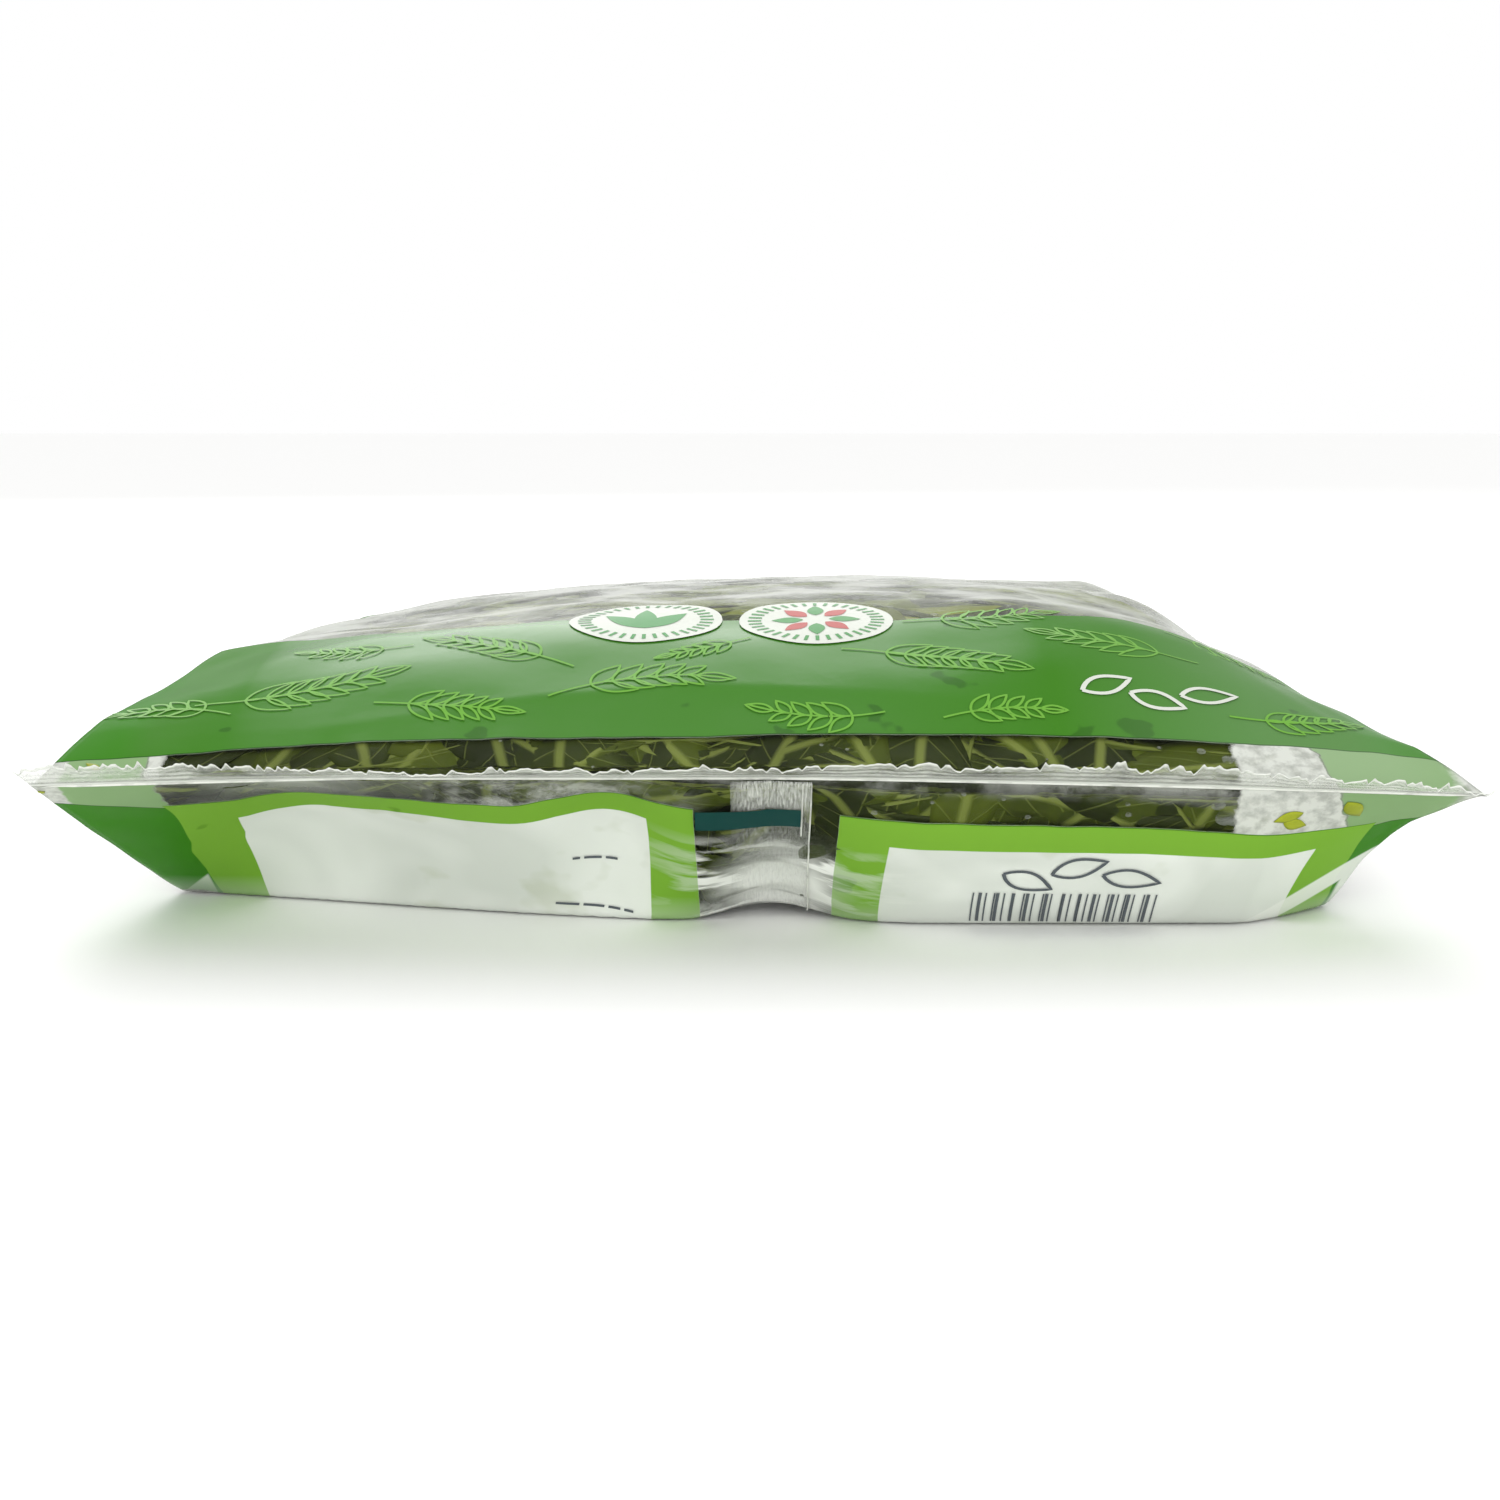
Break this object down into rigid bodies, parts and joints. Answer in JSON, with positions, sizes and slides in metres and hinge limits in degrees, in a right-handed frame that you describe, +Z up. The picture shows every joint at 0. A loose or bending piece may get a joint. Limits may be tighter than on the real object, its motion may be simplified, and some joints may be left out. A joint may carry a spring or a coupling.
{
  "type": "bag of salad leaves",
  "caption": "Sealed clear pillow bag filled with rocket salad leaves, lying on its back with the printed front up; heat-sealed across both ends.",
  "frame": {"origin": "middle of the footprint, on the surface that the bag lies on", "axes": "+X along the end seals, to the right seen from the near seal; +Y from the near seal to the far seal; +Z up, out of the printed front"},
  "size_m": [0.197, 0.2496, 0.045],
  "materials": {
    "bag": "clear heat-sealed film with green and white print, over salad leaves"
  },
  "bodies": {
    "root": {"bag": "bag"}
  },
  "joints": []
}
